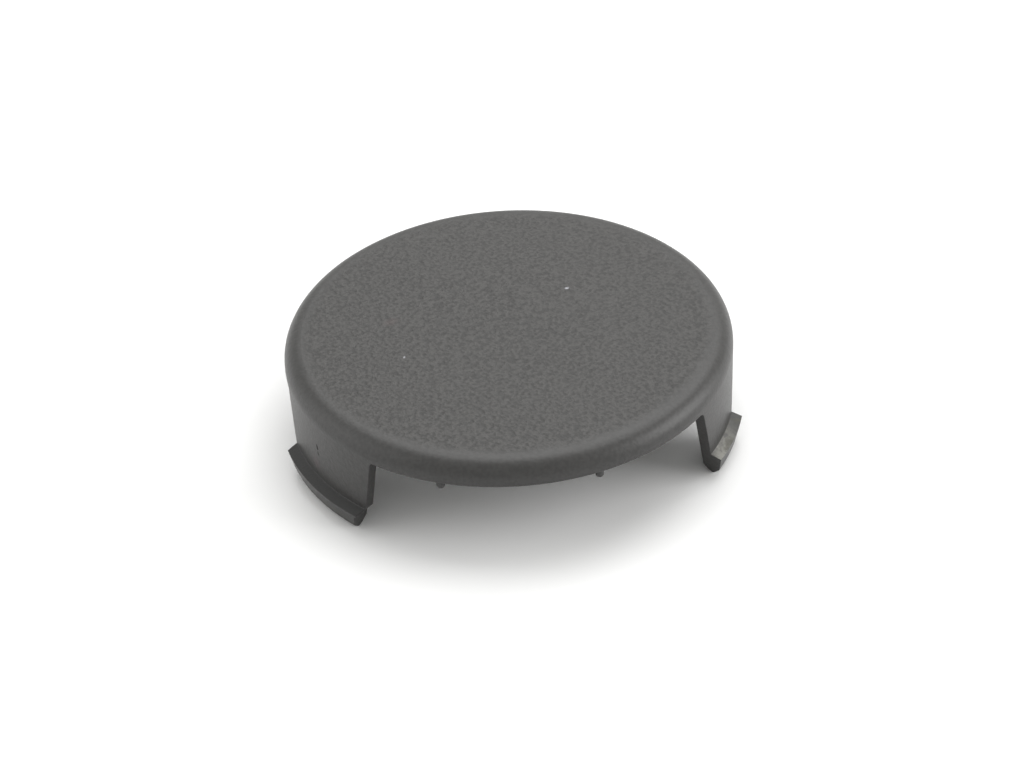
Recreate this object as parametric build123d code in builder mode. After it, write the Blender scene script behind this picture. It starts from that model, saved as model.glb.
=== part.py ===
from build123d import *
import math
import os

os.makedirs("parts", exist_ok=True)

# Round snap-in hole plug, moulded in one piece. Sizes in mm.
# The Z axis is the plug's own axis and Z = 0 is the lower edge of the skirt: the cap is above it
# and the snap legs hang below it. The wide leg is on -Y, so X = 0 is the mirror plane.

# Cap
cap_diameter = 50.0        # outside of the cap, of its skirt and of the legs
skirt_depth = 2.5          # from the skirt's lower edge up to the edge of the top face
crown_rise = 0.55          # how much higher the middle of the top is than its edge
middle_flat_radius = 0.5   # the very middle of the crown is flat
plate_thickness = 1.2
rim_radius = 2.1           # rounding from the top face into the skirt
wall = 1.2                 # skirt and legs
inner_corner_radius = 0.9

# Snap legs, seen from the front
leg_drop = 6.9             # from the skirt's lower edge to the barb's ledge
wide_root_width = 18.0
wide_ledge_width = 15.4
wide_tip_width = 12.3
wide_end_slant = 18.0      # degrees; turns the leg's ends towards the plug's axis
wide_root_fillet = 0.4
barb_set_back = 0.95       # each end of the wide leg steps in by this much at the barb
barb_set_back_drop = 0.9
set_back_radius = 0.7
set_back_fillet = 0.3
narrow_root_width = 11.6
narrow_tip_width = 6.6
narrow_end_slant = 10.5
narrow_root_fillet = 0.9
narrow_leg_turn = 126.0    # degrees from the wide leg to each narrow leg

# Barb section
barb_reach = 1.18          # how far the lip stands out beyond the leg
barb_ledge_fall = 0.45     # the ledge slopes down from the leg to the lip
barb_height = 3.15         # from the ledge to the leg's tip
barb_face_height = 2.35    # from the ledge to the foot of the outer face
barb_face_reach = 0.75     # how far the foot of the outer face stands out beyond the leg
tip_inset = 0.12           # from the leg's outer face in to the lowest point
toe_inset = 0.72           # from the leg's outer face in to the toe of the inner bevel
toe_rise = 0.5
inner_bevel_rise = 1.2
face_foot_radius = 0.35
tip_radius = 0.3
toe_radius = 0.3

# Stop pins on the inside of the skirt, a pair in each gap between the legs
pin_diameter = 0.9
pin_inset = 0.35  # pin centres from the inside of the wall
pin_drop = 1.9             # below the skirt's lower edge
pin_end_radius = 0.4
pin_pair_turn = 59.0       # degrees from the wide leg to the middle of each pair beside it
pin_half_spread = 21.0     # degrees from the middle of a pair to each pin

# Sizes that follow from these
cap_radius = cap_diameter / 2
bore_radius = cap_radius - wall
pin_circle_radius = bore_radius - pin_inset
under_height = skirt_depth - plate_thickness
tip_depth = leg_drop + barb_height
leg_overlap = 0.2          # how far the legs run up into the skirt to fuse with it
root_margin = 1.5          # width of skirt kept beside a leg for its root fillet
window_depth = 8.0
crown_radius = (cap_radius**2 + crown_rise**2) / (2 * crown_rise)
top_height = skirt_depth + crown_rise


def crown_height(x):
    """Height of the top face at this distance from the axis."""
    return top_height - crown_radius + math.sqrt(crown_radius**2 - x**2)


# Wall and barb as a full ring; each leg is cut out of it
with BuildPart() as leg_ring:
    with BuildSketch(Plane.XZ) as leg_section:
        with BuildLine():
            Polyline(
                (bore_radius, leg_overlap),
                (cap_radius, leg_overlap),
                (cap_radius, -leg_drop),
                (cap_radius + barb_reach, -leg_drop - barb_ledge_fall),
                (cap_radius + barb_face_reach, -leg_drop - barb_face_height),
                (cap_radius - tip_inset, -tip_depth),
                (cap_radius - toe_inset, -tip_depth + toe_rise),
                (bore_radius, -tip_depth + inner_bevel_rise),
                close=True,
            )
        make_face()
        for x, z, radius in (
            (cap_radius + barb_face_reach, -leg_drop - barb_face_height, face_foot_radius),
            (cap_radius - tip_inset, -tip_depth, tip_radius),
            (cap_radius - toe_inset, -tip_depth + toe_rise, toe_radius),
        ):
            fillet(leg_section.vertices().sort_by_distance((x, z))[0], radius)
    revolve(axis=Axis.Z)


def snap_leg(side, rounds, slant):
    """One leg on -Y: its right side in front view, the rounds on it and the slant of its ends."""
    outwards = Vector(0, -1, 0).rotate(Axis.Z, slant)
    across = Vector(1, 0, 0).rotate(Axis.Z, slant)
    start = Vector(0, -cap_radius, 0) - outwards * window_depth
    turned = [(x * math.cos(math.radians(slant)), z) for x, z in side]
    with BuildPart() as window:
        with BuildSketch(Plane(origin=start, x_dir=across, z_dir=outwards)) as outline:
            Polygon(*turned, (-cap_radius, side[-1][1]), (-cap_radius, side[0][1]), align=None)
            for corner, radius in rounds:
                point = turned[side.index(corner)]
                fillet(outline.vertices().sort_by_distance(point)[0], radius)
        extrude(amount=2 * window_depth)
    with BuildPart() as leg:
        add(leg_ring.part)
        add(window.part, mode=Mode.INTERSECT)
        mirror(window.part, about=Plane.YZ, mode=Mode.INTERSECT)
    return leg.part


wide_root = (wide_root_width / 2, 0)
wide_ledge_end = (wide_ledge_width / 2, -leg_drop)
wide_barb_end = (wide_ledge_width / 2 - barb_set_back, -leg_drop - barb_set_back_drop)
wide_leg = snap_leg(
    [
        (wide_root_width / 2 + root_margin, leg_overlap),
        (wide_root_width / 2 + root_margin, 0),
        wide_root,
        wide_ledge_end,
        wide_barb_end,
        (wide_tip_width / 2, -tip_depth),
    ],
    [
        (wide_root, wide_root_fillet),
        (wide_ledge_end, set_back_radius),
        (wide_barb_end, set_back_fillet),
    ],
    wide_end_slant,
)

narrow_root = (narrow_root_width / 2, 0)
narrow_leg = snap_leg(
    [
        (narrow_root_width / 2 + root_margin, leg_overlap),
        (narrow_root_width / 2 + root_margin, 0),
        narrow_root,
        (narrow_tip_width / 2, -tip_depth),
    ],
    [(narrow_root, narrow_root_fillet)],
    narrow_end_slant,
)

with BuildPart() as stop_pin:
    with BuildSketch(Plane.XZ) as pin_section:
        with Locations((0, -pin_drop)):
            Rectangle(
                pin_diameter / 2,
                pin_drop + under_height + leg_overlap,
                align=(Align.MIN, Align.MIN),
            )
        end_corner = (pin_diameter / 2, -pin_drop)
        fillet(pin_section.vertices().sort_by_distance(end_corner)[0], pin_end_radius)
    revolve(axis=Axis.Z)

with BuildPart() as hole_plug:
    with BuildSketch(Plane.XZ) as cap_section:
        with BuildLine():
            ThreePointArc(
                (middle_flat_radius, crown_height(middle_flat_radius)),
                (cap_radius / 2, crown_height(cap_radius / 2)),
                (cap_radius, skirt_depth),
            )
            Polyline(
                (cap_radius, skirt_depth),
                (cap_radius, 0),
                (bore_radius, 0),
                (bore_radius, under_height),
                (0, under_height),
                (0, crown_height(middle_flat_radius)),
                (middle_flat_radius, crown_height(middle_flat_radius)),
            )
        make_face()
        fillet(cap_section.vertices().sort_by_distance((cap_radius, skirt_depth))[0], rim_radius)
        inner_corner = cap_section.vertices().sort_by_distance((bore_radius, under_height))[0]
        fillet(inner_corner, inner_corner_radius)
    revolve(axis=Axis.Z)

    # Three legs: the wide one and a narrow one on each side of it
    add(wide_leg)
    add(narrow_leg.rotate(Axis.Z, narrow_leg_turn))
    add(narrow_leg.rotate(Axis.Z, -narrow_leg_turn))

    # Stop pins, from the underside of the plate down past the skirt
    for middle in (pin_pair_turn, 180, -pin_pair_turn):
        for turn in (middle - pin_half_spread, middle + pin_half_spread):
            spot = Vector(0, -pin_circle_radius, 0).rotate(Axis.Z, turn)
            add(stop_pin.part.moved(Location(spot)))

hole_plug.part.label = "hole_plug"
export_step(hole_plug.part, "parts/hole_plug.step")
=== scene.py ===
import math

import bpy
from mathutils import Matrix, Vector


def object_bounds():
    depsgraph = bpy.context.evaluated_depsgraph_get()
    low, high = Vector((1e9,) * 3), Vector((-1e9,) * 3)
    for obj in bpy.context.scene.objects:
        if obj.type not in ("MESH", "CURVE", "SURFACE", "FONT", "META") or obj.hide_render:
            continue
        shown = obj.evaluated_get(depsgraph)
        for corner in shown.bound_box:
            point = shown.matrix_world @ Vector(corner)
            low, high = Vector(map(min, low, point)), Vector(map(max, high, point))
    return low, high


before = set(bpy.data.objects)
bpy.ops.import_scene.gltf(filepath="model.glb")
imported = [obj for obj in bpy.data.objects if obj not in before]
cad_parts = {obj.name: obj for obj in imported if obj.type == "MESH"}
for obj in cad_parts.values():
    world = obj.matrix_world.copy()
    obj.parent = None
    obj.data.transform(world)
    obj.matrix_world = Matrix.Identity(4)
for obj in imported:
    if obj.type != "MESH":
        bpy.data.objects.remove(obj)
cad_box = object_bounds()
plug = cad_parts["hole_plug"]
FLOOR_Z = cad_box[0][2]

# Lengths are in metres, in the part's own frame: +Z out of the cap's top, z = 0 at the skirt's
# lower edge, the wide leg on -Y and one narrow leg on +X and one on -X.


def grey(level, warm=0.0):
    """Linear grey, with this share more red and less blue."""
    return (level * (1 + warm), level, level * (1 - warm), 1.0)


# ---------------------------------------------------------------- camera and lights
CAMERA_PLACE = (0.2065, -0.12902, 0.17733)
CAMERA_TURN = (0.92619, 0.04763, 0.97606)
CAMERA_LENS = 94.88
SENSOR_WIDTH = 36.0
CLIP_START = 0.01

# The camera stands this far round from -Y; RIGHT and FRONT are the directions it sees
CAMERA_AZIMUTH = math.radians(58)
RIGHT = (math.cos(CAMERA_AZIMUTH), math.sin(CAMERA_AZIMUTH))
FRONT = (math.sin(CAMERA_AZIMUTH), -math.cos(CAMERA_AZIMUTH))

# name, metres to the right, to the front and up, side in metres, power in watts
SOFTBOXES = [
    ("overhead", 0.15, -0.50, 0.95, 1.1, 10.0),
    ("right_side", 1.00, 0.12, 0.34, 0.8, 8.5),
    ("left_side", -1.00, 0.00, 0.42, 1.1, 4.0),
]
STUDIO_WHITE = (1.0, 1.0, 0.975, 1.0)
FILL_STRENGTH = 0.60  # what the studio's walls light the plug with
MIRRORED_STRENGTH = 0.92  # what the plug's gloss reflects of them

# ---------------------------------------------------------------- floor
FLOOR_SIZE = 6.0
FLOOR_DARK = (0.90, 0.90, 0.90, 1.0)
FLOOR_LIGHT = (0.94, 0.94, 0.94, 1.0)
FLOOR_CLOUD_SCALE = 60.0
FLOOR_ROUGHNESS = 0.9
FLOOR_SPECULAR = 0.2

# ---------------------------------------------------------------- plastic
PLASTIC_DARK = grey(0.021, 0.03)
PLASTIC_LIGHT = grey(0.028, 0.03)
PLASTIC_CLOUD_SCALE = 95.0
PLASTIC_IOR = 1.45
SIDE_ROUGHNESS = 0.40
TOP_ROUGHNESS = 0.55
ROUGHNESS_SPREAD = 0.14

# Spark-eroded grain of the top: full inside one radius and above one height, gone at the others
GRAIN_FULL_RADIUS = 0.0212
GRAIN_END_RADIUS = 0.0236
GRAIN_START_Z = 0.0018
GRAIN_FULL_Z = 0.0024
GRAIN_FINE_SCALE = 2500.0
GRAIN_CELL_SCALE = 2300.0
GRAIN_CELL_SHARE = -0.55
GRAIN_ON_SIDES = 0.12
GRAIN_HEIGHT = 0.00015
GRAIN_TOP_COLOUR = grey(0.056, 0.03)
SIDE_GRAIN_SCALE = 5200.0
SIDE_GRAIN_SHARE = 0.10

# Sharp edges are rounded to this radius by shading, and outside the cap's wall they get a
# painted highlight
EDGE_RADIUS = 0.00016
EDGE_SAMPLES = 6
EDGE_HIGHLIGHT_COLOUR = grey(0.13)
EDGE_HIGHLIGHT_SCALE = 700.0
EDGE_HIGHLIGHT_INNER_RADIUS = 0.02395
EDGE_HIGHLIGHT_OUTER_RADIUS = 0.0241

# Ledges of the barbs: the height they start below, the painted shade of the wide leg's ledge
# from one y to the other, and the dust with a painted highlight on the +X leg's ledge from one x
# to the other
LEDGE_TOP_Z = -0.0060
LEDGE_FULL_Z = -0.0066
SHADE_COLOUR = grey(0.006, 0.02)
SHADE_START_Y = -0.018
SHADE_FULL_Y = -0.021
HIGHLIGHT_AND_WEAR_START_X = 0.012
HIGHLIGHT_AND_WEAR_FULL_X = 0.015
HIGHLIGHT_AND_WEAR_NEAR_Y = 0.0130
HIGHLIGHT_AND_WEAR_FAR_Y = 0.0175
DUST_AND_HIGHLIGHT_COLOUR = (0.24, 0.237, 0.215, 1.0)
DUST_AND_HIGHLIGHT_SCALE = 900.0
DUST_ROUGHNESS = 0.25
DIRT_COLOUR = (0.055, 0.052, 0.035, 1.0)
DIRT_SCALE = 520.0

# Small marks: centre, half sizes, and the share of the half size inside which a mark is full
SMEAR = ((-0.0009, -0.0250, -0.0050), (0.0011, 0.001, 0.0014), 0.1)
SMEAR_COLOUR = (0.085, 0.050, 0.060, 1.0)
SCRATCH_HEAD = ((-0.00032, -0.0250, -0.0026), (0.00026, 0.001, 0.00044), 0.5)
SCRATCH_TAIL = ((-0.00022, -0.0250, -0.0034), (0.00024, 0.001, 0.00050), 0.4)
SCRATCH_COLOUR = (0.006, 0.002, 0.003, 1.0)
TINT = ((-0.0084, -0.0100, 0.0029), (0.0010, 0.0014, 0.002), 0.1)
TINT_COLOUR = (0.090, 0.058, 0.058, 1.0)
BACK_SPECK = ((-0.00161, 0.00922, 0.00297), (0.00028, 0.00034, 0.001), 0.3)
FRONT_SPECK = ((-0.00188, -0.01239, 0.00291), (0.00020, 0.00024, 0.001), 0.3)
SPECK_COLOUR = (0.42, 0.42, 0.46, 1.0)
RAGGED_SCALE = 2600.0
WOBBLE_SCALE = 1500.0
WOBBLE_REACH = 0.0004


# ---------------------------------------------------------------- node helpers
class Nodes:
    """Adds shader nodes to a tree and links them."""

    def __init__(self, tree):
        self.tree = tree
        tree.nodes.clear()

    def add(self, kind, inputs=None, **settings):
        node = self.tree.nodes.new(kind)
        for key, value in settings.items():
            setattr(node, key, value)
        for key, value in (inputs or {}).items():
            self.put(node.inputs[key], value)
        return node

    def put(self, socket, value):
        if isinstance(value, bpy.types.NodeSocket):
            self.tree.links.new(value, socket)
        else:
            socket.default_value = value

    def math(self, operation, a, b, clamp=False):
        node = self.add("ShaderNodeMath", {0: a, 1: b}, operation=operation, use_clamp=clamp)
        return node.outputs[0]

    def times(self, a, b):
        return self.math("MULTIPLY", a, b)

    def vector(self, operation, inputs, output="Vector"):
        return self.add("ShaderNodeVectorMath", inputs, operation=operation).outputs[output]

    def split(self, vector):
        return self.add("ShaderNodeSeparateXYZ", {0: vector}).outputs

    def ramp(self, value, low, high, to_low=0.0, to_high=1.0):
        """Smooth change from to_low at low to to_high at high."""
        node = self.add(
            "ShaderNodeMapRange",
            {
                "Value": value,
                "From Min": low,
                "From Max": high,
                "To Min": to_low,
                "To Max": to_high,
            },
            interpolation_type="SMOOTHSTEP",
        )
        return node.outputs["Result"]

    def noise(self, vector, scale, detail=2.0, roughness=0.5):
        node = self.add(
            "ShaderNodeTexNoise",
            {"Vector": vector, "Scale": scale, "Detail": detail, "Roughness": roughness},
        )
        return node.outputs["Fac"]

    def mix(self, factor, a, b):
        """Colour a where factor is 0 and colour b where it is 1."""
        node = self.add("ShaderNodeMix", {0: factor, 6: a, 7: b}, data_type="RGBA")
        return node.outputs[2]

    def spot(self, place, mark):
        """1 inside the ellipsoid of a mark, 0 outside it."""
        centre, half_sizes, full = mark
        offset = self.vector("SUBTRACT", {0: place, 1: centre})
        scaled = self.vector("DIVIDE", {0: offset, 1: half_sizes})
        return self.ramp(self.vector("LENGTH", {0: scaled}, "Value"), 1.0, full)


# ---------------------------------------------------------------- moulded plastic
def painted_ledge_light_with_dust_and_dirt(n, colour, place, up):
    """Painted shade on the wide leg's ledge; dust with a painted highlight, and dirt, on the +X
    leg's ledge.
    """
    x, y, z = n.split(place)
    ledge = n.times(n.ramp(up, 0.35, 0.75), n.ramp(z, LEDGE_TOP_Z, LEDGE_FULL_Z))
    # Painted shade: the wide leg's ledge is darkened in colour where the body shades it from the
    # light
    shaded = n.times(ledge, n.ramp(y, SHADE_START_Y, SHADE_FULL_Y))
    colour = n.mix(n.times(shaded, 0.9), colour, SHADE_COLOUR)
    # Dust and painted highlight: the +X leg's ledge, lit from the right, is paled in colour,
    # fading towards its far end
    ledge = n.times(ledge, n.ramp(x, HIGHLIGHT_AND_WEAR_START_X, HIGHLIGHT_AND_WEAR_FULL_X))
    blotch = n.ramp(n.noise(place, DUST_AND_HIGHLIGHT_SCALE, 4.0, 0.65), 0.36, 0.62)
    dust_and_highlight = n.times(ledge, n.math("ADD", 0.30, n.times(blotch, 0.6)))
    dust_and_highlight = n.times(dust_and_highlight, n.ramp(y, HIGHLIGHT_AND_WEAR_FAR_Y, HIGHLIGHT_AND_WEAR_NEAR_Y, 0.05, 1.0))
    colour = n.mix(dust_and_highlight, colour, DUST_AND_HIGHLIGHT_COLOUR)
    dirt = n.times(ledge, n.ramp(n.noise(place, DIRT_SCALE, 3.0, 0.6), 0.56, 0.66))
    return n.mix(n.times(dirt, 0.5), colour, DIRT_COLOUR), dust_and_highlight


def edge_painted_highlight(n, colour, place, radius, soft_normal, true_normal):
    """Thin pale painted highlight where the rounded normal leaves the face's own."""
    turn = n.vector("DOT_PRODUCT", {0: soft_normal, 1: true_normal}, "Value")
    patchy = n.ramp(n.noise(place, EDGE_HIGHLIGHT_SCALE, 3.0, 0.6), 0.35, 0.65, 0.05, 0.35)
    # Painted highlight: a pale colour on the rounded edges stands in for the light they catch
    edge_highlight = n.times(n.ramp(turn, 0.985, 0.80), patchy)
    edge_highlight = n.times(edge_highlight, n.ramp(radius, EDGE_HIGHLIGHT_INNER_RADIUS, EDGE_HIGHLIGHT_OUTER_RADIUS))
    return n.mix(edge_highlight, colour, EDGE_HIGHLIGHT_COLOUR)


def small_marks(n, colour, place):
    """Scratch and smear on the wide leg, faint smear and two pale specks on the top."""
    wobble = n.add(
        "ShaderNodeTexNoise", {"Vector": place, "Scale": WOBBLE_SCALE, "Detail": 2.0}
    )
    centred = n.vector("SUBTRACT", {0: wobble.outputs["Color"], 1: (0.5, 0.5, 0.5)})
    shift = n.vector("SCALE", {0: centred, "Scale": WOBBLE_REACH})
    shaken = n.vector("ADD", {0: place, 1: shift})
    colour = n.mix(n.times(n.spot(shaken, SMEAR), 0.30), colour, SMEAR_COLOUR)
    tail = n.times(n.spot(shaken, SCRATCH_TAIL), 0.8)
    scratch = n.math("MAXIMUM", n.spot(shaken, SCRATCH_HEAD), tail)
    colour = n.mix(n.times(scratch, 0.85), colour, SCRATCH_COLOUR)
    colour = n.mix(n.times(n.spot(shaken, TINT), 0.22), colour, TINT_COLOUR)
    front_speck = n.times(n.spot(shaken, FRONT_SPECK), 0.8)
    specks = n.math("MAXIMUM", n.spot(shaken, BACK_SPECK), front_speck)
    return n.mix(n.times(specks, 0.75), colour, SPECK_COLOUR), scratch


def plastic():
    material = bpy.data.materials.new("moulded_plastic")
    material.use_nodes = True
    n = Nodes(material.node_tree)
    point = n.add("ShaderNodeNewGeometry")
    place = point.outputs["Position"]
    x, y, z = n.split(place)
    flat = n.add("ShaderNodeCombineXYZ", {0: x, 1: y, 2: 0.0}).outputs[0]
    radius = n.vector("LENGTH", {0: flat}, "Value")
    up = n.split(point.outputs["Normal"])[2]

    # The top's grain dies out over the rim; the rest is nearly smooth
    on_top = n.times(
        n.ramp(radius, GRAIN_END_RADIUS, GRAIN_FULL_RADIUS),
        n.ramp(z, GRAIN_START_Z, GRAIN_FULL_Z),
    )
    cells = n.add(
        "ShaderNodeTexVoronoi", {"Vector": place, "Scale": GRAIN_CELL_SCALE}, feature="SMOOTH_F1"
    )
    grain = n.math(
        "ADD",
        n.noise(place, GRAIN_FINE_SCALE, 2.0, 0.6),
        n.times(cells.outputs["Distance"], GRAIN_CELL_SHARE),
    )
    height = n.math(
        "ADD",
        n.times(grain, n.ramp(on_top, 0.0, 1.0, GRAIN_ON_SIDES, 1.0)),
        n.times(n.noise(place, SIDE_GRAIN_SCALE, 3.0, 0.6), SIDE_GRAIN_SHARE),
    )
    soft_edges = n.add("ShaderNodeBevel", {"Radius": EDGE_RADIUS}, samples=EDGE_SAMPLES)
    soft_normal = soft_edges.outputs[0]
    bump = n.add(
        "ShaderNodeBump",
        {"Strength": 1.0, "Distance": GRAIN_HEIGHT, "Height": height, "Normal": soft_normal},
    )

    # Dark warm grey, slightly uneven, with the grain's tops a little paler
    cloud = n.noise(place, PLASTIC_CLOUD_SCALE, 3.0, 0.55)
    colour = n.mix(cloud, PLASTIC_DARK, PLASTIC_LIGHT)
    paler = n.times(n.ramp(grain, 0.05, 0.45), n.ramp(on_top, 0.0, 1.0, 0.25, 0.85))
    colour = n.mix(paler, colour, GRAIN_TOP_COLOUR)
    colour, dust_and_highlight = painted_ledge_light_with_dust_and_dirt(n, colour, place, up)
    true_normal = point.outputs["True Normal"]
    colour = edge_painted_highlight(n, colour, place, radius, soft_normal, true_normal)
    colour, scratch = small_marks(n, colour, place)

    # Matt on the grain, a little glossier on the rim, skirt and legs, duller where it is dusty
    gloss = n.ramp(on_top, 0.0, 1.0, SIDE_ROUGHNESS, TOP_ROUGHNESS)
    ragged = n.math("SUBTRACT", n.noise(place, RAGGED_SCALE, 3.0, 0.7), 0.5)
    roughness = n.math("ADD", gloss, n.times(ragged, ROUGHNESS_SPREAD))
    roughness = n.math("ADD", roughness, n.times(dust_and_highlight, DUST_ROUGHNESS), clamp=True)
    surface = n.add(
        "ShaderNodeBsdfPrincipled",
        {
            "Base Color": colour,
            "Roughness": roughness,
            "IOR": PLASTIC_IOR,
            "Specular IOR Level": n.ramp(scratch, 0.0, 1.0, 0.5, 0.1),
            "Normal": bump.outputs[0],
        },
    )
    n.add("ShaderNodeOutputMaterial", {"Surface": surface.outputs[0]})
    return material


def floor_material():
    material = bpy.data.materials.new("pale_floor")
    material.use_nodes = True
    n = Nodes(material.node_tree)
    place = n.add("ShaderNodeNewGeometry").outputs["Position"]
    cloud = n.noise(place, FLOOR_CLOUD_SCALE, 4.0, 0.6)
    surface = n.add(
        "ShaderNodeBsdfPrincipled",
        {
            "Base Color": n.mix(cloud, FLOOR_DARK, FLOOR_LIGHT),
            "Roughness": FLOOR_ROUGHNESS,
            "Specular IOR Level": FLOOR_SPECULAR,
        },
    )
    n.add("ShaderNodeOutputMaterial", {"Surface": surface.outputs[0]})
    return material


plug.data.materials.clear()
plug.data.materials.append(plastic())

bpy.ops.mesh.primitive_plane_add(size=FLOOR_SIZE, location=(0, 0, FLOOR_Z))
floor = bpy.context.object
floor.name = "floor"
floor.data.materials.append(floor_material())


# ---------------------------------------------------------------- light
def studio():
    """Plain pale surroundings, brighter in reflections than as fill light."""
    world = bpy.data.worlds.new("studio")
    bpy.context.scene.world = world
    world.use_nodes = True
    n = Nodes(world.node_tree)
    path = n.add("ShaderNodeLightPath").outputs
    seen = n.math("MAXIMUM", path["Is Camera Ray"], path["Is Glossy Ray"])
    seen = n.math("MAXIMUM", seen, path["Is Transmission Ray"])
    fill, mirrored = (
        n.add("ShaderNodeBackground", {"Color": STUDIO_WHITE, "Strength": strength}).outputs[0]
        for strength in (FILL_STRENGTH, MIRRORED_STRENGTH)
    )
    sky = n.add("ShaderNodeMixShader", {0: seen, 1: fill, 2: mirrored})
    n.add("ShaderNodeOutputWorld", {"Surface": sky.outputs[0]})


def softbox(name, right, front, height, size, power):
    """Square area light aimed at the plug."""
    light = bpy.data.lights.new(name, "AREA")
    light.shape = "SQUARE"
    light.size = size
    light.energy = power
    lamp = bpy.data.objects.new(name, light)
    bpy.context.collection.objects.link(lamp)
    lamp.location = (
        right * RIGHT[0] + front * FRONT[0],
        right * RIGHT[1] + front * FRONT[1],
        height,
    )
    aim = -lamp.location
    lamp.rotation_euler = aim.to_track_quat("-Z", "Y").to_euler()


studio()
for box in SOFTBOXES:
    softbox(*box)

# ---------------------------------------------------------------- camera
camera_data = bpy.data.cameras.new("camera")
camera_data.sensor_width = SENSOR_WIDTH
camera_data.lens = CAMERA_LENS
camera_data.clip_start = CLIP_START
camera = bpy.data.objects.new("camera", camera_data)
bpy.context.collection.objects.link(camera)
camera.location = CAMERA_PLACE
camera.rotation_euler = CAMERA_TURN
bpy.context.scene.camera = camera
bpy.context.scene.view_settings.view_transform = "Standard"
